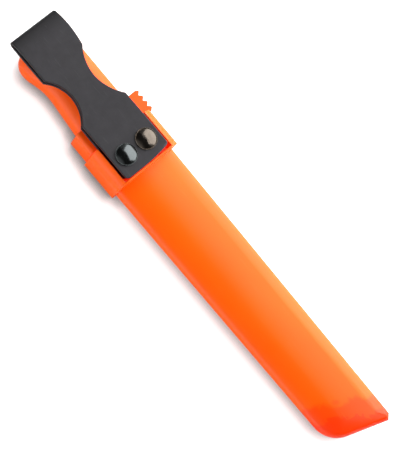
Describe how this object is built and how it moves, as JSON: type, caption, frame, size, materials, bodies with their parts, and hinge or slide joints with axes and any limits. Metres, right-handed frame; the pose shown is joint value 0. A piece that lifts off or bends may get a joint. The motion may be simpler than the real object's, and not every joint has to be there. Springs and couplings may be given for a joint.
{
  "type": "sheathed rigging knife",
  "caption": "Fixed-blade rigging knife with a moulded handle and thumb rest, in a long flat moulded sheath with a fold-over belt loop closed by press studs.",
  "frame": {"origin": "middle of the bounding box at the face it lies on, the sheath's front", "axes": "+X along the knife toward the sheath's tip, +Y toward the blade's spine and the thumb rest, +Z toward the belt loop"},
  "size_m": [0.3485, 0.0574, 0.036],
  "materials": {
    "sheath_plastic": "satin moulded",
    "handle_plastic": "satin moulded",
    "strap_leather": "smooth black",
    "snap_dark": "black nickel plated",
    "snap_steel": "nickel plated",
    "spring_steel": "drawn wire",
    "blade_steel": "satin ground",
    "tube_steel": "drawn tube"
  },
  "bodies": {
    "sheath": {"sheath_shell": "sheath_plastic", "strap_back": "strap_leather", "snap_post_a": "snap_steel", "snap_post_b": "snap_steel", "snap_stud_a": "snap_steel", "snap_stud_b": "snap_steel"},
    "flap": {"strap_flap": "strap_leather", "snap_cap_a": "snap_dark", "snap_cap_b": "snap_dark", "snap_socket_a": "snap_steel", "snap_socket_b": "snap_steel", "snap_spring_a": "spring_steel", "snap_spring_b": "spring_steel"},
    "knife": {"handle": "handle_plastic", "blade": "blade_steel", "lanyard_tube": "tube_steel"}
  },
  "joints": [
    {"name": "knife_draw", "type": "slide", "parent": "sheath", "child": "knife", "axis": [-1, 0, 0], "range_m": [0, 0.26]},
    {"name": "flap_open", "type": "hinge", "parent": "sheath", "child": "flap", "pos_m": [-0.16875, 0, 0.0328], "axis": [0, -1, 0], "range_deg": [0, 150]}
  ]
}
